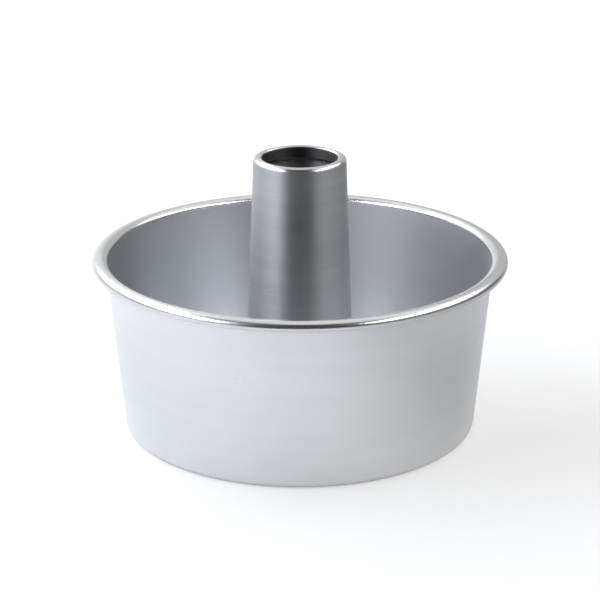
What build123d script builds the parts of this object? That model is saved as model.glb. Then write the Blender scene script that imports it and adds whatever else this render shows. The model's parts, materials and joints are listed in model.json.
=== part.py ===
"""Tube cake pan of spun aluminium: a ring with a rolled rim, a loose base plate and a tapered centre tube.

Millimetres, +Z up. The origin is on the pan's axis, at the level that the foot of the ring stands on.
Every piece is one sheet of metal, so each is drawn the way it is spun: its skin is a line in the XZ plane,
the thickness of the sheet is laid on one side of that line, and the section is turned round the axis.
"""
import os
from math import asin, atan2, cos, degrees, hypot, pi, sin, tan

from build123d import *

os.makedirs("parts", exist_ok=True)

# Whole pan
rim_radius = 89.0              # inner face of the wall at the rim, which makes a 7 inch pan
wall_taper = 7.3               # how far the wall draws in from the rim to the ledge
pan_height = 82.9              # from the foot to the crest of the rim roll, about 3 1/4 inches
tube_height = 128.6            # from the foot to the top of the tube
mouth_radius = 17.25           # the opening in the top of the tube
tube_taper = 4.5               # how far the tube widens from its top to the plate

# Outer ring
ring_sheet = 1.0
foot_bend = 1.5                # inside of the bend from the wall to the ledge
ledge_width = 6.0              # the flat part of the ledge, which carries the plate
roll_width = 7.5               # the oval section of the rim roll, outside sizes
roll_height = 5.1
roll_nose_share = 0.8          # radius of the roll's two sides, of half its height
curl_gap = 0.3                 # from the raw edge of the roll to the wall

# Base plate
plate_sheet = 1.2
plate_bend = 0.8               # inside of every pressed bend
edge_clearance = 0.3           # from the plate's resting face to the bend of the foot
edge_bevel = 0.8               # lower corner of the plate's edge, which clears that bend
edge_break = 0.2               # upper corner of the plate's edge
ledge_clearance = 0.4          # from the sunk floor to the inner edge of the ledge, all round
floor_clearance = 0.3          # from the sunk floor down to the table
step_width = 2.0               # of the slope from the plate's edge down to its floor
boss_width = 6.0               # flat ring on top of the boss round the hole
boss_slope_width = 3.0

# Centre tube
tube_sheet = 1.0
seam_clearance = 0.05          # from the tube's neck to the hole in the plate
flare_width = 3.5              # rolled out under the boss, which locks the tube to the plate
flare_lift = 0.2               # from the underside of the floor up to the flare
flare_bend = 0.6
shoulder_width = 1.6           # pressed out above the boss
shoulder_height = 2.2
lip_width = 4.15               # how far the top of the tube is turned in
lip_outer_bend = 0.8           # inside of the bend at the top of the tube
lip_inner_bend = 0.2           # inside of the bend into the mouth
lip_land = 4.0                 # the straight wall inside the mouth

# Rim roll: an oval of two nose arcs and two flatter crown arcs, each tangent to the next
roll_half_width = roll_width / 2
roll_half_height = roll_height / 2
roll_centre_height = pan_height - roll_half_height
roll_centre_radius = rim_radius + roll_half_width
nose_radius = roll_nose_share * roll_half_height
nose_offset = roll_half_width - nose_radius
crown_drop = roll_half_height - nose_radius
crown_radius = (nose_offset**2 + roll_half_height**2 - nose_radius**2) / (2 * crown_drop)
crown_half_angle = asin(nose_offset / (crown_radius - nose_radius))

# Wall: the line from the inner corner of the foot that is tangent to the roll's inner nose
foot_radius = rim_radius - wall_taper
nose_run = wall_taper + nose_radius
nose_rise = roll_centre_height - ring_sheet
wall_angle = atan2(nose_rise, nose_run) + asin(nose_radius / hypot(nose_run, nose_rise))
wall_length = (nose_run**2 + nose_rise**2 - nose_radius**2) ** 0.5
wall_direction = (cos(wall_angle), sin(wall_angle))
wall_foot = (foot_radius, ring_sheet)
wall_run = wall_length * cos(wall_angle)
wall_rise = wall_length * sin(wall_angle)
wall_top = (foot_radius + wall_run, ring_sheet + wall_rise)

# The roll ends where its raw edge would touch the outside of the wall
curl_rise = pan_height - roll_height - ring_sheet
wall_outer_radius = foot_radius + curl_rise / tan(wall_angle) + ring_sheet / sin(wall_angle)
curl_end_angle = asin((roll_centre_radius - wall_outer_radius - curl_gap) / crown_radius)

# Foot and ledge
bend_start_radius = foot_radius - foot_bend / tan((pi - wall_angle) / 2)
ledge_inner_radius = bend_start_radius - ledge_width

# Levels and radii of the base plate, on its upper skin
plate_radius = bend_start_radius - edge_clearance + edge_bevel
edge_level = ring_sheet + plate_sheet
floor_level = floor_clearance + plate_sheet
boss_level = floor_level + flare_lift + tube_sheet
boss_underside = boss_level - plate_sheet
step_angle = atan2(edge_level - floor_level, step_width)
step_radius = ledge_inner_radius - ledge_clearance - plate_sheet * tan(step_angle / 2)
tube_top_radius = mouth_radius + lip_width
tube_foot_radius = tube_top_radius + tube_taper
hole_radius = tube_foot_radius + seam_clearance
boss_radius = hole_radius + boss_width
plate_outer_bend = plate_bend + plate_sheet

# Tube: its neck goes through the plate, between the shoulder above the boss and the flare under it
shoulder_top = boss_level + shoulder_height
shoulder_nose = shoulder_height / 2
shoulder_flat = tube_foot_radius + shoulder_width - shoulder_nose
shoulder_root = tube_foot_radius - tube_sheet / 2
lip_outer_round = lip_outer_bend + tube_sheet
lip_inner_round = lip_inner_bend + tube_sheet
lip_end_height = tube_height - lip_inner_round - lip_land

# The bends of the rim roll in the order in which the sheet runs: radius of the outer skin, and turn
roll_bends = [
    (nose_radius, wall_angle - crown_half_angle),
    (crown_radius, 2 * crown_half_angle),
    (nose_radius, pi - 2 * crown_half_angle),
    (crown_radius, crown_half_angle + curl_end_angle),
]


def draw_bends(start, direction, bends, inset):
    """Draw one skin of a sheet that curls clockwise, inset from its outer skin, and return its two ends."""
    point = Vector(start) + inset * Vector(direction).rotate(Axis.Z, -90)
    heading = Vector(direction)
    first_point = point
    for radius, turn in bends:
        bend = JernArc(point, heading, radius - inset, -degrees(turn))
        point, heading = bend @ 1, bend % 1
    return first_point, point


# Outer ring
with BuildPart() as outer_ring:
    with BuildSketch(Plane.XZ) as ring_section:
        with BuildLine() as wall_skin:
            FilletPolyline((ledge_inner_radius, ring_sheet), wall_foot, wall_top, radius=foot_bend)
            offset(amount=ring_sheet, side=Side.RIGHT)
        make_face()
        with BuildLine() as roll_skin:
            outer_start, outer_end = draw_bends(wall_top, wall_direction, roll_bends, 0)
            inner_start, inner_end = draw_bends(wall_top, wall_direction, roll_bends, ring_sheet)
            Line(outer_start, inner_start)
            Line(outer_end, inner_end)
        make_face()
    revolve(axis=Axis.Z)

# Base plate
with BuildPart() as base_plate:
    with BuildSketch(Plane.XZ) as plate_section:
        with BuildLine() as plate_skin:
            FilletPolyline(
                (hole_radius, boss_level),
                (boss_radius, boss_level),
                (boss_radius + boss_slope_width, floor_level),
                (step_radius - step_width, floor_level),
                (step_radius, edge_level),
                (plate_radius, edge_level),
                radius=[plate_outer_bend, plate_bend, plate_bend, plate_outer_bend],
            )
            offset(amount=plate_sheet, side=Side.RIGHT)
        make_face()
        lower_hole_corner = plate_section.vertices().group_by(Axis.X)[0].sort_by(Axis.Y)[0]
        chamfer(lower_hole_corner, length=flare_bend)
        lower_edge_corner = plate_section.vertices().group_by(Axis.X)[-1].sort_by(Axis.Y)[0]
        chamfer(lower_edge_corner, length=edge_bevel)
        upper_edge_corner = plate_section.vertices().group_by(Axis.X)[-1].sort_by(Axis.Y)[-1]
        chamfer(upper_edge_corner, length=edge_break)
    revolve(axis=Axis.Z)

# Centre tube
with BuildPart() as centre_tube:
    with BuildSketch(Plane.XZ) as tube_section:
        with BuildLine() as tube_skin:
            FilletPolyline(
                (tube_foot_radius + flare_width, boss_underside),
                (tube_foot_radius, boss_underside),
                (tube_foot_radius, shoulder_top),
                (tube_top_radius, tube_height),
                (mouth_radius, tube_height),
                (mouth_radius, lip_end_height),
                radius=[flare_bend, 0, lip_outer_round, lip_inner_round],
            )
            offset(amount=tube_sheet, side=Side.LEFT)
        make_face()
        with BuildLine() as shoulder_outline:
            lower_side = Line((shoulder_root, boss_level), (shoulder_flat, boss_level))
            nose_side = JernArc(lower_side @ 1, lower_side % 1, shoulder_nose, 180)
            upper_side = Line(nose_side @ 1, (shoulder_root, shoulder_top))
            Line(upper_side @ 1, lower_side @ 0)
        make_face()
    revolve(axis=Axis.Z)

outer_ring.part.label = "outer_ring"
export_step(outer_ring.part, "parts/outer_ring.step")
base_plate.part.label = "base_plate"
export_step(base_plate.part, "parts/base_plate.step")
centre_tube.part.label = "centre_tube"
export_step(centre_tube.part, "parts/centre_tube.step")
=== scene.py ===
# %% [markdown]
# # A spun aluminium tube pan
#
# The object is a cake pan of three pieces of sheet metal: a tapered ring with a rolled rim, a loose
# base plate, and a tall tube that is locked to the middle of the plate. All three were turned on a
# lathe, so every one of them is a flat outline swept once round the axis. This file loads the packed
# CAD model as a fixed frame, makes a smooth mesh of each piece in the same place, gives it a satin
# metal finish, and lights it like a product shot.
#
# The first cell loads the frame and moves every CAD part's mesh into place, and part_box reads the box of
# any part. The finished model has to stay inside that box.

# %% Load the frame
import json
from math import asin, atan2, cos, degrees, hypot, pi, radians, sin, tan

import bmesh
import bpy
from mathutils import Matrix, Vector


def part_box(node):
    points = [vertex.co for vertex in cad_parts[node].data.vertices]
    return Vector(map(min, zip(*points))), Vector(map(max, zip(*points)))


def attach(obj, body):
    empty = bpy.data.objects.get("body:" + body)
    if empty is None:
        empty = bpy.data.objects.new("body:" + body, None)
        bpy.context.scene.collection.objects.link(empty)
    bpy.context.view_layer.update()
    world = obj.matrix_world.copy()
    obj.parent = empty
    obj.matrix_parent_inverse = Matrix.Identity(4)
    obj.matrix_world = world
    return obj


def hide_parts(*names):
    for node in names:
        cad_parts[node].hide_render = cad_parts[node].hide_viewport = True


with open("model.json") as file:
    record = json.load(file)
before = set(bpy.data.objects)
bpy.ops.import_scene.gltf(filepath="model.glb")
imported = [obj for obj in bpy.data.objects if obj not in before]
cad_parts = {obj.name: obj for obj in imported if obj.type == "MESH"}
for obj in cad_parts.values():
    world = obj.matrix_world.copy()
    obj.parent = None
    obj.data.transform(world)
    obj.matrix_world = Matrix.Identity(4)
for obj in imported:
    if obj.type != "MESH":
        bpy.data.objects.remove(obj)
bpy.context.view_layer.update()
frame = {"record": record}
scene = bpy.context.scene

# %% [markdown]
# ## Sizes
#
# Blender works in metres. The large sizes are read from the frame, so that the meshes follow the CAD
# model when it changes. The small ones, such as the thickness of a sheet or the radius of a bend, are
# the maker's own sizes and are written here once, by name.

# %% Sizes of the whole pan
mm, cm = 0.001, 0.01
ring_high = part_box("outer_ring")[1]
plate_low, plate_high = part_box("base_plate")
tube_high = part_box("centre_tube")[1]
pan_height = ring_high.z
tube_height = tube_high.z
mouth = next(m for m in frame["record"]["mounts"] if m["name"] == "tube_mouth")
mouth_radius = mouth["dims"]["r_mm"] * mm
mouth_land = mouth["dims"]["length_mm"] * mm
print(f"rim {2 * ring_high.x / mm:.1f} mm across")
print(f"wall {pan_height / mm:.1f} mm high, tube {tube_height / mm:.1f} mm high")

# %% Sheets, bends and rolls
ring_sheet, plate_sheet, tube_sheet = 1.0 * mm, 1.2 * mm, 1.0 * mm
roll_width, roll_height, roll_nose_share = 7.5 * mm, 5.1 * mm, 0.8
wall_taper, foot_bend, ledge_width, curl_gap = 7.3 * mm, 1.5 * mm, 6.0 * mm, 0.3 * mm
edge_bevel, edge_break = 0.8 * mm, 0.2 * mm
plate_bend, ledge_clearance, step_width = 0.8 * mm, 0.4 * mm, 2.0 * mm
boss_width, boss_slope_width = 6.0 * mm, 3.0 * mm
flare_width, flare_bend, seam_clearance = 3.5 * mm, 0.6 * mm, 0.05 * mm
shoulder_width, shoulder_height = 1.6 * mm, 2.2 * mm
lip_width, lip_outer_round, lip_inner_round = 4.15 * mm, 1.8 * mm, 1.2 * mm
print(f"sheets of {ring_sheet / mm:.1f}, {plate_sheet / mm:.1f} and {tube_sheet / mm:.1f} mm")

# %% [markdown]
# ## Drawing a bent sheet
#
# A sheet in section is a strip that runs straight, bends, runs straight again, and so on. The easiest
# way to draw it is to walk along it: stand at one end, look along the sheet, and take one step after
# another. Each step is a bend and then a straight run. The other face of the sheet is the same walk a
# sheet's thickness further to the right, where a bend to the left gets a larger radius and a bend to
# the right a smaller one. So one list of steps draws both faces, and the thickness is the same
# everywhere, as it is in real sheet metal.

# %% Walk along a sheet
arc_step = radians(7)


def walk(start, heading, steps, to_the_right=0.0):
    """Points of one face. A step is (radius of bend, turn, straight run); a left turn is positive."""
    x, z = start
    x += to_the_right * sin(heading)
    z -= to_the_right * cos(heading)
    points = [(x, z)]
    for radius, turn, run in steps:
        side = 1 if turn > 0 else -1
        radius = radius + side * to_the_right if radius else 0.0
        count = max(1, round(abs(turn) / arc_step)) if radius else 1
        for _ in range(count):
            chord = 2 * radius * sin(abs(turn) / count / 2)
            heading += turn / count / 2
            x, z = x + chord * cos(heading), z + chord * sin(heading)
            heading += turn / count / 2
            if chord:
                points.append((x, z))
        if run:
            x, z = x + run * cos(heading), z + run * sin(heading)
            points.append((x, z))
    return points


def corner_run(radius, turn):
    """How much of a straight run a bend takes up, measured from the corner that it rounds."""
    return radius * tan(abs(turn) / 2)


print(f"a bend gets a point every {degrees(arc_step):.0f} degrees")


# %% [markdown]
# ## The outline of the ring
#
# The ring starts at the inner edge of its ledge, on which the base plate lies, bends up into the wall
# and leans out by about five degrees. At the top the same sheet curls outward into an oval roll, made
# of two tight noses and two flatter crowns, until its raw edge almost touches the wall again. The lean
# of the wall isn't chosen: it is the one line from the foot that runs into the roll without a kink.

# %% Ring outline
roll_half_width, roll_half_height = roll_width / 2, roll_height / 2
rim_radius = ring_high.x - roll_width
foot_radius = rim_radius - wall_taper
nose_radius = roll_nose_share * roll_half_height
nose_offset = roll_half_width - nose_radius
crown_drop = roll_half_height - nose_radius
crown_radius = (nose_offset**2 + roll_half_height**2 - nose_radius**2) / (2 * crown_drop)
crown_half_angle = asin(nose_offset / (crown_radius - nose_radius))
nose_run = wall_taper + nose_radius
nose_rise = pan_height - roll_half_height - ring_sheet
wall_angle = atan2(nose_rise, nose_run) + asin(nose_radius / hypot(nose_run, nose_rise))
wall_length = (nose_run**2 + nose_rise**2 - nose_radius**2) ** 0.5
curl_rise = pan_height - roll_height - ring_sheet
wall_outer_radius = foot_radius + curl_rise / tan(wall_angle) + ring_sheet / sin(wall_angle)
curl_end_angle = asin((rim_radius + roll_half_width - wall_outer_radius - curl_gap) / crown_radius)
ledge_inner_radius = foot_radius - corner_run(foot_bend, wall_angle) - ledge_width

ring_steps = [
    (0, 0, ledge_width),
    (foot_bend, wall_angle, wall_length - corner_run(foot_bend, wall_angle)),
    (nose_radius, crown_half_angle - wall_angle, 0),
    (crown_radius, -2 * crown_half_angle, 0),
    (nose_radius, 2 * crown_half_angle - pi, 0),
    (crown_radius, -crown_half_angle - curl_end_angle, 0),
]
ring_start = (ledge_inner_radius, ring_sheet)
ring_outline = walk(ring_start, 0, ring_steps) + walk(ring_start, 0, ring_steps, ring_sheet)[::-1]
wall_lean = 90 - degrees(wall_angle)
print(f"ring outline of {len(ring_outline)} points, wall leans out by {wall_lean:.2f} degrees")

# %% [markdown]
# ## The outline of the base plate
#
# The plate is pressed: a flat ring round the hole, the boss, a slope down to the floor, and a small
# step up to the edge that lies on the ledge. Its corners are cut off where they have to clear a bend of
# another piece.

# %% Plate outline
edge_level = ring_sheet + plate_sheet
floor_level = plate_low.z + plate_sheet
boss_level = plate_high.z
boss_underside = boss_level - plate_sheet
step_rise = edge_level - floor_level
step_angle = atan2(step_rise, step_width)
boss_drop = boss_level - floor_level
boss_angle = atan2(boss_drop, boss_slope_width)
tube_top_radius = mouth_radius + lip_width
tube_foot_radius = tube_high.x - flare_width
hole_radius = tube_foot_radius + seam_clearance
step_radius = ledge_inner_radius - ledge_clearance - plate_sheet * tan(step_angle / 2)
outer_bend = plate_bend + plate_sheet
floor_width = step_radius - step_width - (hole_radius + boss_width + boss_slope_width)
boss_take, boss_outer_take = corner_run(plate_bend, boss_angle), corner_run(outer_bend, boss_angle)
step_take, step_outer_take = corner_run(plate_bend, step_angle), corner_run(outer_bend, step_angle)

plate_steps = [
    (0, 0, boss_width - boss_outer_take),
    (outer_bend, -boss_angle, hypot(boss_drop, boss_slope_width) - boss_outer_take - boss_take),
    (plate_bend, boss_angle, floor_width - boss_take - step_take),
    (plate_bend, step_angle, hypot(step_rise, step_width) - step_take - step_outer_take),
    (outer_bend, -step_angle, plate_high.x - step_radius - step_outer_take),
]
plate_start = (hole_radius, boss_level)
plate_top = walk(plate_start, 0, plate_steps)
plate_under = walk(plate_start, 0, plate_steps, plate_sheet)[::-1]
edge_x, edge_top = plate_top.pop()
edge_under = plate_under.pop(0)[1]
hole_under = plate_under.pop()[1]
plate_edge = [(edge_x - edge_break, edge_top), (edge_x, edge_top - edge_break),
              (edge_x, edge_under + edge_bevel), (edge_x - edge_bevel, edge_under)]
plate_hole = [(hole_radius + flare_bend, hole_under), (hole_radius, hole_under + flare_bend)]
plate_outline = plate_top + plate_edge + plate_under + plate_hole
print(f"plate outline of {len(plate_outline)} points, floor {floor_level / mm:.2f} mm up")

# %% [markdown]
# ## The outline of the tube
#
# The tube starts under the boss with a flare, goes up through the hole, and is pressed out into a
# shoulder above the plate, which locks the two together. Then it runs up with a slight taper and turns
# inward at the top, first over a round lip and then down into the mouth. Only the outer face has the
# shoulder, so the two faces get a list of steps each; the steps that they share are written once. This
# walk starts at the outside, so its inner face comes first: then the outline goes round the same way as
# the other two, and the turned faces point outwards.

# %% Tube outline
lip_end_height = tube_height - lip_inner_round - mouth_land
shoulder_nose = shoulder_height / 2
shoulder_flat = shoulder_width - shoulder_nose
neck_ease = 30 * mm
tube_rise = tube_height - (boss_level + shoulder_height)
lean = atan2(tube_foot_radius - tube_top_radius, tube_rise)
tube_wall = hypot(tube_foot_radius - tube_top_radius, tube_rise)
lip_turn = pi / 2 - lean
lip_take = corner_run(lip_outer_round, lip_turn)
neck_take = corner_run(neck_ease, lean)
shared_flare = [(0, 0, flare_width - flare_bend)]
shared_top = [
    (neck_ease, lean, tube_wall - neck_take - lip_take),
    (lip_outer_round, lip_turn, lip_width - lip_take - lip_inner_round),
    (lip_inner_round, pi / 2, mouth_land),
]
neck = boss_level - boss_underside - flare_bend
collar = [
    (0, -pi / 2, shoulder_flat),
    (shoulder_nose, pi, shoulder_flat),
    (0, -pi / 2, -neck_take),
]
tube_start = (tube_high.x, boss_underside)
outer_steps = shared_flare + [(flare_bend, -pi / 2, neck)] + collar + shared_top
inner_steps = shared_flare + [(flare_bend, -pi / 2, neck + shoulder_height - neck_take)] + shared_top
tube_outline = walk(tube_start, pi, inner_steps, -tube_sheet) + walk(tube_start, pi, outer_steps)[::-1]
print(f"tube outline of {len(tube_outline)} points, leans in by {degrees(lean):.2f} degrees")

# %% [markdown]
# ## A bench for nodes
#
# Materials and Geometry Nodes trees are both made of nodes and wires. Writing them out call by call is
# long, so two small helpers do it. A Wire is one output of a node, and arithmetic on it adds Math
# nodes, so a formula in a material reads as it would on paper. A Bench adds any other node from its
# type, its settings and the values or wires of its sockets, always in that order, because some settings
# change which sockets a node has.

# %% Wires and the bench
class Wire:
    """One output of a node. Arithmetic adds Math nodes; wire["Name"] is another output of its node."""

    def __init__(self, bench, socket):
        self.bench, self.socket = bench, socket

    def __getitem__(self, name):
        return Wire(self.bench, self.socket.node.outputs[name])

    def maths(self, operation, *values):
        return self.bench.node("ShaderNodeMath", {"operation": operation}, dict(enumerate(values)))

    def __add__(self, other):
        return self.maths("ADD", self, other)

    def __sub__(self, other):
        return self.maths("SUBTRACT", self, other)

    def __mul__(self, other):
        return self.maths("MULTIPLY", self, other)

    def __truediv__(self, other):
        return self.maths("DIVIDE", self, other)

    def __pow__(self, other):
        return self.maths("POWER", self, other)

    def __gt__(self, other):
        return self.maths("GREATER_THAN", self, other)

    def __radd__(self, other):
        return self.maths("ADD", other, self)

    def __rsub__(self, other):
        return self.maths("SUBTRACT", other, self)

    def __rmul__(self, other):
        return self.maths("MULTIPLY", other, self)

    def ramp(self, low, high, first=0.0, last=1.0):
        """This value taken from low..high to first..last, smooth at both ends and flat beyond them."""
        sockets = {"Value": self, "From Min": low, "From Max": high, "To Min": first, "To Max": last}
        return self.bench.node("ShaderNodeMapRange", {"interpolation_type": "SMOOTHSTEP"}, sockets)


class Bench:
    """A node tree to build on."""

    def __init__(self, tree):
        self.tree = tree

    def node(self, kind, settings, sockets):
        """Add a node: settings are its own properties, and sockets its inputs by name or number."""
        made = self.tree.nodes.new(kind)
        for name, value in settings.items():
            setattr(made, name, value)
        for name, value in sockets.items():
            if isinstance(value, Wire):
                self.tree.links.new(value.socket, made.inputs[name])
            else:
                made.inputs[name].default_value = value
        return Wire(self, made.outputs[0]) if made.outputs else made

    def mix(self, factor, first, second):
        """A colour between two colours."""
        return self.node("ShaderNodeMix", {"data_type": "RGBA"}, {0: factor, 6: first, 7: second})[2]

    def vector(self, x, y, z):
        return self.node("ShaderNodeCombineXYZ", {}, {"X": x, "Y": y, "Z": z})

    def noise(self, vector, scale, detail=2.0, roughness=0.5):
        """Noise from 0 to 1 about a middle of 0.5."""
        sockets = {"Vector": vector, "Scale": scale, "Detail": detail, "Roughness": roughness}
        return self.node("ShaderNodeTexNoise", {"noise_dimensions": "3D"}, sockets)


print("bench ready")

# %% [markdown]
# ## A lathe made of Geometry Nodes
#
# On the real lathe the outline is fixed and the metal turns. Geometry Nodes do the same with two nodes:
# a Curve Circle is the turn, and Curve to Mesh carries the outline round it. The outline is drawn flat,
# with the radius along X and the height along Y. The circle has a radius of its own, so the outline is
# first moved in by as much, and its height is mirrored because Curve to Mesh counts it downward.
#
# A spun wall isn't perfectly even: the roller leaves shallow waves. A noise with a long pitch round the
# pan and a short one up it moves the wall along its normals by a few thousandths of a millimetre, and
# the tube by about a hundredth, which is what makes the reflections look like metal and not like glass.
# The tree ends by marking the sharp edges, where a bend is tighter than the limit, and by giving the
# mesh its material.

# %% The lathe tree
lathe = bpy.data.node_groups.new("lathe", "GeometryNodeTree")
lathe_sockets = {}
for socket_name, kind in (("Outline", "Geometry"), ("Segments", "Int"), ("Turn radius", "Float"),
                          ("Wave height", "Float"), ("Wave pitch", "Float"), ("Waves round", "Float"),
                          ("Wave start", "Float"), ("Wave end", "Float"), ("Seed", "Float"),
                          ("Finish", "Material")):
    made_socket = lathe.interface.new_socket(socket_name, in_out="INPUT", socket_type="NodeSocket" + kind)
    lathe_sockets[socket_name] = made_socket.identifier
lathe.interface.new_socket("Mesh", in_out="OUTPUT", socket_type="NodeSocketGeometry")

bench = Bench(lathe)
given = bench.node("NodeGroupInput", {}, {})
turn = bench.node("GeometryNodeCurvePrimitiveCircle", {"mode": "RADIUS"},
                  {"Resolution": given["Segments"], "Radius": given["Turn radius"]})
moved = bench.node("GeometryNodeTransform", {}, {
    "Geometry": given["Outline"],
    "Translation": bench.vector(0 - given["Turn radius"], 0.0, 0.0),
    "Scale": (1.0, -1.0, 1.0),
})
turned = bench.node("GeometryNodeCurveToMesh", {}, {"Curve": turn, "Profile Curve": moved})
place = bench.node("ShaderNodeSeparateXYZ", {}, {"Vector": bench.node("GeometryNodeInputPosition", {}, {})})
height = place["Z"]
wave_point = bench.vector(place["X"] * given["Waves round"], place["Y"] * given["Waves round"],
                          height / given["Wave pitch"] + given["Seed"])
waves = bench.noise(wave_point, 1.0, 1.0) - 0.5
fade = 6 * mm
between = (height - given["Wave start"]).ramp(0.0, fade) * (given["Wave end"] - height).ramp(0.0, fade)
push = bench.node("ShaderNodeVectorMath", {"operation": "SCALE"}, {
    0: bench.node("GeometryNodeInputNormal", {}, {}),
    "Scale": waves * between * given["Wave height"],
})
waved = bench.node("GeometryNodeSetPosition", {}, {"Geometry": turned, "Offset": push})
smooth = bench.node("GeometryNodeSetShadeSmooth", {"domain": "FACE"}, {
    "Geometry": waved, "Shade Smooth": True})
sharp_limit = radians(32)
bend_angle = bench.node("GeometryNodeInputMeshEdgeAngle", {}, {})
creased = bench.node("GeometryNodeSetShadeSmooth", {"domain": "EDGE"}, {
    "Geometry": smooth, "Selection": bend_angle > sharp_limit, "Shade Smooth": False})
real = bench.node("GeometryNodeRealizeInstances", {}, {"Geometry": creased})
finished = bench.node("GeometryNodeSetMaterial", {}, {"Geometry": real, "Material": given["Finish"]})
bench.node("NodeGroupOutput", {}, {"Mesh": finished})
print(f"lathe tree of {len(lathe.nodes)} nodes")


# %% [markdown]
# ## From outline to piece
#
# The lathe tree takes a Curve object, so the outline becomes one, and the tree runs on it as a
# modifier. Its inputs are set by their identifiers before Blender evaluates it. new_from_object keeps
# the result as a plain mesh, and the curve goes away with its modifier. Long straight runs first get
# points in between, because a wave can only move points that are there. The volume that is printed is a
# test: it is positive only if the faces point outwards.

# %% Turn an outline into a piece
def spaced(outline, longest, first_height):
    """The outline with points added on its long runs, which are above first_height, to carry the waves."""
    points = []
    for (x0, z0), (x1, z1) in zip(outline, outline[1:] + outline[:1]):
        count = max(1, round(hypot(x1 - x0, z1 - z0) / longest)) if max(z0, z1) > first_height else 1
        points += [(x0 + (x1 - x0) * i / count, z0 + (z1 - z0) * i / count) for i in range(count)]
    return points


def spin(name, outline, finish, segments, *, wave_height, wave_pitch, waves_round,
         wave_start, wave_end, seed):
    """Sweep an outline round the axis with the lathe tree, and return it as an object with a plain mesh."""
    drawing = bpy.data.curves.new(name + "_outline", "CURVE")
    drawing.dimensions = "3D"
    spline = drawing.splines.new("POLY")
    spline.points.add(len(outline) - 1)
    for point, (radius, level) in zip(spline.points, outline):
        point.co = (radius, level, 0.0, 1.0)
    spline.use_cyclic_u = True
    blank = bpy.data.objects.new(name + "_outline", drawing)
    scene.collection.objects.link(blank)
    lathe_run = blank.modifiers.new("lathe", "NODES")
    lathe_run.node_group = lathe
    values = {"Segments": segments, "Turn radius": outline[0][0], "Wave height": wave_height,
              "Wave pitch": wave_pitch, "Waves round": waves_round, "Wave start": wave_start,
              "Wave end": wave_end, "Seed": seed, "Finish": finish}
    for socket_name, value in values.items():
        lathe_run[lathe_sockets[socket_name]] = value
    evaluated = blank.evaluated_get(bpy.context.evaluated_depsgraph_get())
    mesh = bpy.data.meshes.new_from_object(evaluated)
    piece = bpy.data.objects.new(name, mesh)
    scene.collection.objects.link(piece)
    bpy.data.objects.remove(blank)
    mesh.name = name
    solid = bmesh.new()
    solid.from_mesh(mesh)
    volume = solid.calc_volume(signed=True)
    solid.free()
    triangles = sum(len(face.vertices) - 2 for face in mesh.polygons)
    finish_name = mesh.materials[0].name
    print(f"{name}: {triangles} triangles, {volume / cm**3:.2f} cm3 of metal, finish {finish_name}")
    return piece

# %% [markdown]
# ## Satin aluminium
#
# Bare metal has hardly a colour of its own: it shows what is around it, and its finish decides how
# sharply. Turned sheet carries very fine grooves round the axis. They blur a reflection up and down but
# not sideways, which is anisotropy, turned by a quarter so that the streak stands across the grooves.
# On top of that come marks that can be seen: fine lines left by the roller, wider feed marks, one for
# each turn of the lathe, and bands in which the surface is a little rougher and greyer. The lines and
# the feed marks are a bump. The feed marks are a sine wave up the piece, whose phase and strength
# wander, so that they come in groups and fade, as on the real tube.
#
# The other patterns are noise on Object coordinates, drawn out along the turn by giving the height a
# much larger scale than X and Y. Constants such as anisotropy are set on the shader's own sockets,
# where the export reads them.

# %% The finish
# patches of each pattern in a metre of X or Y
lines_round, bands_round, wander_round, groups_round = 9, 14, 12, 30
cloud_scale = 22.0
outward_share = 0.35          # how fast the patterns change along a level face, against up a wall
feed_wander = 5.0             # radians by which the feed marks run early or late
wander_feeds, group_feeds = 7, 9          # over how many feed marks they wander, and form a group


def spun_finish(name, colour, shade, roughness, unevenness, streak, *, line_pitch, line_depth,
                feed_pitch, feed_depth, band_pitch, places=()):
    """Satin spun metal. places are (mask maker, colour, roughness), for parts that look different."""
    material = bpy.data.materials.new(name)
    material.use_nodes = True
    material.node_tree.nodes.clear()
    metal = Bench(material.node_tree)
    point = metal.node("ShaderNodeTexCoord", {}, {})["Object"]
    axes = metal.node("ShaderNodeSeparateXYZ", {}, {"Vector": point})
    x, y, z = axes["X"], axes["Y"], axes["Z"]
    radius = (x * x + y * y) ** 0.5
    along = z + radius * outward_share
    lines = metal.noise(metal.vector(x * lines_round, y * lines_round, along / line_pitch), 1.0, 3.0, 0.6)
    bands = metal.noise(metal.vector(x * bands_round, y * bands_round, along / band_pitch), 1.0, 2.0)
    cloud = metal.noise(point, cloud_scale, 2.0)
    tone = metal.mix(bands.ramp(0.3, 0.7), colour, shade)
    rough = roughness + unevenness * (bands + cloud - 1.0)
    for place_mask, place_colour, place_roughness in places:
        mask = place_mask(radius, z)
        tone = metal.mix(mask, tone, place_colour)
        rough = rough + mask * (place_roughness - rough)
    wander_point = metal.vector(x * wander_round, y * wander_round, z / (wander_feeds * feed_pitch))
    wander = metal.noise(wander_point, 1.0, 1.0)
    groups_point = metal.vector(x * groups_round, y * groups_round, z / (group_feeds * feed_pitch) + 4.0)
    groups = metal.noise(groups_point, 1.0, 1.0).ramp(0.35, 0.65)
    feed = z.maths("SINE", z * (2 * pi / feed_pitch) + feed_wander * wander)
    relief = lines * line_depth + feed * groups * feed_depth
    bump = metal.node("ShaderNodeBump", {}, {"Distance": 1.0, "Height": relief})
    shader = metal.node("ShaderNodeBsdfPrincipled", {}, {
        "Base Color": tone, "Metallic": 1.0, "Roughness": rough, "Normal": bump,
        "Anisotropic": streak, "Anisotropic Rotation": 0.25,
    })
    metal.node("ShaderNodeOutputMaterial", {}, {"Surface": shader})
    return material


def grey(value, blue=0.0):
    """A grey of the given lightness, a little bluer where blue is above 0."""
    return (value * (1 - blue), value * (1 - blue / 3), value * (1 + blue), 1.0)
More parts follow.
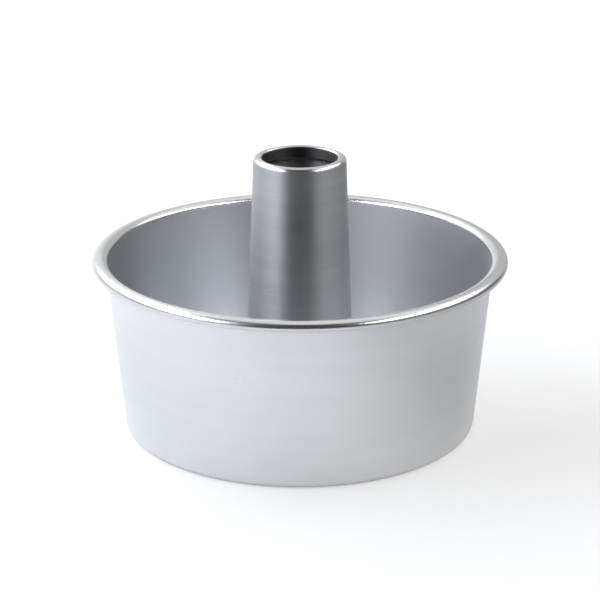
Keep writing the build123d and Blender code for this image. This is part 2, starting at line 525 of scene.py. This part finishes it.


# %% [markdown]
# ## A finish for each place
#
# A spun pan isn't the same all over. The roll along the rim is rubbed bright by the tool. The lip of the
# tube is smoother too, and its grey is raised well above the tube's as a painted highlight. The inside of
# the wall is duller, and its darker grey is painted shade. The inside of the tube is painted dark as
# painted shade, nearly black in the mouth. Each place is a mask, 1 there and 0 elsewhere, made from a
# point's distance from the axis and its height. That is
# enough here, because every piece is round, and it stays right when the insert is lifted, because
# Object coordinates move with the piece.

# %% Masks for the places
wall_top_level = pan_height - roll_height


def on_the_roll(radius, level):
    outer_half = (radius - rim_radius).ramp(0.3 * roll_width, 0.6 * roll_width)
    return (level - wall_top_level - (1 - outer_half) * roll_half_height).ramp(-0.6 * mm, 0.2 * mm)


# The inside of the wall: a rougher finish, and a darker grey than the outside, which is painted shade.
def duller_inside_wall_painted_shade(radius, level):
    inner_face = foot_radius + (level - ring_sheet) / tan(wall_angle)
    return (inner_face + 0.5 * mm - radius).ramp(-0.1 * mm, 0.1 * mm)


# The lip of the tube: a smoother finish, and a much lighter grey than the tube, which is a painted
# highlight.
def polished_lip_painted_highlight(radius, level):
    return (level - tube_height + lip_outer_round).ramp(0.0, 0.6 * mm)


# The mouth of the tube: painted nearly black, which is painted shade, with a rougher finish.
def mouth_painted_shade(radius, level):
    return (mouth_radius + 0.5 * mm - radius).ramp(0.0, 0.3 * mm)


# Down inside the tube: a darker grey than its outside, which is painted shade.
def tube_inside_painted_shade(radius, level):
    inner_face = tube_top_radius + (tube_height - level) * tan(lean) - tube_sheet
    return (inner_face + 0.4 * mm - radius).ramp(0.0, 0.3 * mm) * (lip_end_height - level).ramp(0.0, 2 * mm)


print(f"the roll starts {wall_top_level / mm:.1f} mm up, the lip ends {lip_end_height / mm:.1f} mm up")

# %% [markdown]
# ## The three finishes
#
# The greys and the roughness were found by comparing renders with the photograph, row by row. The wall is
# bright and so smooth that it gets no feed marks. The tube's grey is much darker than the wall's, and it is
# duller. It has strong feed marks, because it is spun over a narrow tool in many turns. Its lip is lighter
# as a painted highlight, and its inside darker as painted shade. The plate is hidden in the photograph, so
# it gets an ordinary pressed finish between the two.

# %% Finishes of the three pieces
cool, cool_polish = 0.013, 0.01          # how much bluer than grey the plain and the rubbed metal are

wall_finish = spun_finish(
    "wall_spun_aluminium", colour=grey(0.88, cool), shade=grey(0.86, cool),
    roughness=0.28, unevenness=0.02, streak=0.5, line_pitch=0.5 * mm, line_depth=0.002 * mm,
    feed_pitch=8 * mm, feed_depth=0.0, band_pitch=7 * mm,
    # the darker grey inside the wall is painted shade; its higher roughness is the duller finish
    places=[(duller_inside_wall_painted_shade, grey(0.68, cool), 0.36),
            (on_the_roll, grey(0.82, cool_polish), 0.25)])
plate_finish = spun_finish(
    "plate_pressed_aluminium", colour=grey(0.70, cool), shade=grey(0.67, cool),
    roughness=0.36, unevenness=0.05, streak=0.5, line_pitch=0.8 * mm, line_depth=0.002 * mm,
    feed_pitch=3 * mm, feed_depth=0.003 * mm, band_pitch=9 * mm)
tube_finish = spun_finish(
    "tube_spun_aluminium", colour=grey(0.44, cool), shade=grey(0.40, cool),
    roughness=0.49, unevenness=0.06, streak=0.78, line_pitch=0.5 * mm, line_depth=0.0015 * mm,
    feed_pitch=1.9 * mm, feed_depth=0.022 * mm, band_pitch=5 * mm,
    # the lip's lighter grey is a painted highlight; its lower roughness is the polish
    places=[(polished_lip_painted_highlight, grey(0.76, cool_polish), 0.3),
            # the mouth's nearly black grey is painted shade
            (mouth_painted_shade, grey(0.07), 0.6),
            # the darker grey inside the tube is painted shade
            (tube_inside_painted_shade, grey(0.33), 0.5)])
print("finishes", wall_finish.name, plate_finish.name, tube_finish.name)

# %% [markdown]
# ## Spin the three pieces
#
# Each piece takes the place of its CAD node and moves with that node's body. The tube gets closer
# points than the wall, because its waves are shorter and the light falls across them.

# %% Spin them
ring = spin("pan_wall_and_rim", spaced(ring_outline, 4 * mm, 8 * mm), wall_finish, 256,
            wave_height=0.004 * mm, wave_pitch=18 * mm, waves_round=8.0, wave_start=4 * mm,
            wave_end=wall_top_level, seed=3.0)
plate = spin("loose_base_plate", plate_outline, plate_finish, 224,
             wave_height=0.0, wave_pitch=20 * mm, waves_round=12.0, wave_start=0.0,
             wave_end=0.0, seed=5.0)
tube = spin("tapered_centre_tube", spaced(tube_outline, 1.5 * mm, 12 * mm), tube_finish, 160,
            wave_height=0.012 * mm, wave_pitch=9 * mm, waves_round=14.0, wave_start=8 * mm,
            wave_end=tube_height - 2 * mm, seed=7.0)

for piece, node, body, slot in ((ring, "outer_ring", "ring", "wall_aluminium"),
                                (plate, "base_plate", "insert", "plate_aluminium"),
                                (tube, "centre_tube", "insert", "tube_aluminium")):
    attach(piece, body)
    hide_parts(node)

# %% [markdown]
# ## Stage surfaces
#
# Metal shows the room that it stands in, so the room is built before the lamps are set. It has a white
# table, a tent of panels from black to nearly white round and above it, a black cloth on the table in front
# of the pan, and white all round outside. None of that is part of the pan. The tent and the cloth would
# stand in the camera's way, so they are hidden from the camera alone, and the metal still shows them.

# %% Make a stage surface
def stage_surface(name, points, faces, colour, seen, glow):
    """A surface of the studio in one colour. glow is a strength, or makes one from a bench."""
    mesh = bpy.data.meshes.new(name)
    mesh.from_pydata(points, [], faces)
    surface = bpy.data.objects.new(name, mesh)
    scene.collection.objects.link(surface)
    surface.visible_camera = seen
    paint = bpy.data.materials.new(name)
    paint.use_nodes = True
    paint.node_tree.nodes.clear()
    brush = Bench(paint.node_tree)
    strength = glow(brush) if callable(glow) else glow
    shader = brush.node("ShaderNodeBsdfPrincipled", {}, {
        "Base Color": colour, "Roughness": 0.9, "Specular IOR Level": 0.0,
        "Emission Color": (1.0, 1.0, 1.0, 1.0), "Emission Strength": strength})
    brush.node("ShaderNodeOutputMaterial", {}, {"Surface": shader})
    mesh.materials.append(paint)
    print(f"{name}: {len(faces)} faces")


def table_cloth(low_x, low_y, high_x, high_y, level):
    """The four points of a level rectangle, and its one face."""
    corners = ((low_x, low_y), (high_x, low_y), (high_x, high_y), (low_x, high_y))
    return [(x, y, level) for x, y in corners], [(0, 1, 2, 3)]


# %% [markdown]
# ## A white table with a shadow
#
# A white table that is only lit shows as grey wherever the lamps are weak, and more light would burn
# out the pan. So the table is grey paint with a glow of its own, which only camera rays and mirrored
# rays can see. The glow makes it white in the picture and lights nothing. The lamps still light the
# grey paint, so the pan's shadow stays. The glow is weaker close to the pan, where the lamps give most
# of the light. In the metal it is weaker than in the picture, and most of all on the right: there the
# wall mirrors the pan's own shadow and turns darker.

# %% The table
table_half = 3.0
near_distance, near_glow = 0.25, 0.5            # from the middle of the pan
far_distance, far_glow = 0.6, 0.92
shade_from, left_share = 0.03, 0.55             # along X, and how much of the glow the metal shows
shade_to, right_share = 0.2, 0.05


def table_glow(brush):
    ray = brush.node("ShaderNodeLightPath", {}, {})
    place_on_table = brush.node("ShaderNodeTexCoord", {}, {})["Object"]
    spot = brush.node("ShaderNodeSeparateXYZ", {}, {"Vector": place_on_table})
    distance = (spot["X"] * spot["X"] + spot["Y"] * spot["Y"]) ** 0.5
    mirrored = spot["X"].ramp(shade_from, shade_to, left_share, right_share)
    shown = ray.maths("MAXIMUM", ray["Is Camera Ray"], ray["Is Glossy Ray"] * mirrored)
    return shown * distance.ramp(near_distance, far_distance, near_glow, far_glow)


points, faces = table_cloth(-table_half, -table_half, table_half, table_half, -0.02 * mm)
stage_surface("white_table", points, faces, (0.38, 0.38, 0.38, 1.0), True, table_glow)

# %% [markdown]
# ## A tent of grey panels
#
# The tent gives the metal its depth. Without it every part of the wall would mirror the same white, and
# the pan would look like plaster. Each panel is a patch of a wide dome, drawn by azimuth and height in
# degrees: azimuth 0 is the camera's side, 90 is the right and 180 the back. Its glow says how pale it
# is, and 1 is white. The front and the top are nearly black, for the dark line along the front of the
# rim. The back is pale, because the rim's crown shows it, and the left is paler than the right.

# %% Tent and cloth
def tent_wall(name, from_azimuth, to_azimuth, from_height, to_height, glow):
    """A patch of the tent, between two azimuths and two heights in degrees."""
    steps_round, steps_up, tent_radius = 24, 8, 2.8
    points, faces = [], []
    for i in range(steps_round + 1):
        azimuth = radians(from_azimuth + (to_azimuth - from_azimuth) * i / steps_round)
        for j in range(steps_up + 1):
            rise = radians(from_height + (to_height - from_height) * j / steps_up)
            reach = tent_radius * cos(rise)
            points.append((reach * sin(azimuth), -reach * cos(azimuth), tent_radius * sin(rise)))
    for i in range(steps_round):
        for j in range(steps_up):
            corner = i * (steps_up + 1) + j
            faces.append((corner, corner + 1, corner + steps_up + 2, corner + steps_up + 1))
    stage_surface(name, points, faces, (0.0, 0.0, 0.0, 1.0), False, glow)


for panel in (("tent_front", -32, 32, -1, 90, 0.05),
              ("tent_right_low", 32, 140, -1, 35, 0.15),
              ("tent_right_high", 32, 100, 35, 90, 0.1),
              ("tent_right_back", 100, 140, 35, 90, 0.6),
              ("tent_left_low", -100, -32, -1, 25, 0.4),
              ("tent_left_back", -140, -100, -1, 25, 0.6),
              ("tent_left_high", -140, -32, 25, 90, 0.15),
              ("tent_back_right_low", 140, 180, -1, 40, 0.5),
              ("tent_back_left_horizon", 180, 220, -1, 13, 0.95),
              ("tent_back_left_low", 180, 220, 13, 40, 0.7),
              ("tent_back_high", 140, 220, 40, 90, 0.85)):
    tent_wall(*panel)
points, faces = table_cloth(-0.7, -1.6, 0.7, -0.4, 0.4 * mm)
stage_surface("black_cloth", points, faces, (0.02, 0.02, 0.02, 1.0), False, 0.0)

# %% [markdown]
# ## Soft boxes
#
# Two long lamps hang close to the pan, a strong one on the left and a weaker one on the right, as the
# two bright bands along the rim show. A near lamp matters twice: it is large in the metal, so the tone
# runs softly round the wall, and its light falls off quickly, so the right side stays darker. The left
# one is a little bluish.

# %% The lamps
def soft_box(name, width, height, azimuth, rise, distance, power, colour):
    """A lamp aimed at the middle of the pan, placed by azimuth and rise in degrees, of so many watts."""
    lamp_data = bpy.data.lights.new(name, "AREA")
    lamp_data.shape = "RECTANGLE"
    lamp_data.size, lamp_data.size_y = width, height
    lamp_data.energy = power
    lamp_data.color = colour
    lamp = bpy.data.objects.new(name, lamp_data)
    azimuth, rise = radians(azimuth), radians(rise)
    aim = Vector((0, 0, 0.05))
    side = Vector((cos(rise) * sin(azimuth), -cos(rise) * cos(azimuth), sin(rise)))
    lamp.location = aim + distance * side
    lamp.rotation_euler = (aim - lamp.location).to_track_quat("-Z", "Y").to_euler()
    scene.collection.objects.link(lamp)
    print(f"{name}: {power} W, {width * 1000:.0f} mm long, {distance * 1000:.0f} mm away")


soft_box("soft_box_left", 1.5, 0.28, -100, 46, 0.8, 13.2, (0.925, 0.97, 1.05))
soft_box("soft_box_right", 1.1, 0.18, 88, 48, 0.8, 4.4, (1.0, 1.0, 1.0))

# %% [markdown]
# ## White all round
#
# Outside the tent the world is plain white at a strength of 1, which is white in the picture and no
# more. The Standard view transform shows every colour as it is written.

# %% World
world = bpy.data.worlds.new("white_studio")
scene.world = world
world.use_nodes = True
world.node_tree.nodes.clear()
sky = Bench(world.node_tree)
white = sky.node("ShaderNodeBackground", {}, {"Color": (1.0, 1.0, 1.0, 1.0), "Strength": 1.0})
sky.node("ShaderNodeOutputWorld", {}, {"Surface": white})
scene.view_settings.view_transform = "Standard"
print("world white, view transform", scene.view_settings.view_transform)

# %% [markdown]
# ## Camera
#
# The camera's height and distance were found by fitting the pan's outline, the ellipse of the rim and
# the tube's taper to the photograph. It looks down by about twenty degrees from almost a metre, through
# a long lens.

# %% The camera
camera_elevation = radians(19.81)
camera_distance = 0.965
camera_target = Vector((0.0001, 0.0, 0.0588))
camera_side = Vector((0, -cos(camera_elevation), sin(camera_elevation)))
camera_data = bpy.data.cameras.new("camera")
camera_data.sensor_width = 36.0
camera_data.lens = 123.4
camera = bpy.data.objects.new("camera", camera_data)
camera.location = camera_target + camera_distance * camera_side
camera.rotation_euler = (camera_target - camera.location).to_track_quat("-Z", "Y").to_euler()
scene.collection.objects.link(camera)
scene.camera = camera
print(f"camera {camera_distance * 1000:.0f} mm away, {degrees(camera_elevation):.1f} degrees up")
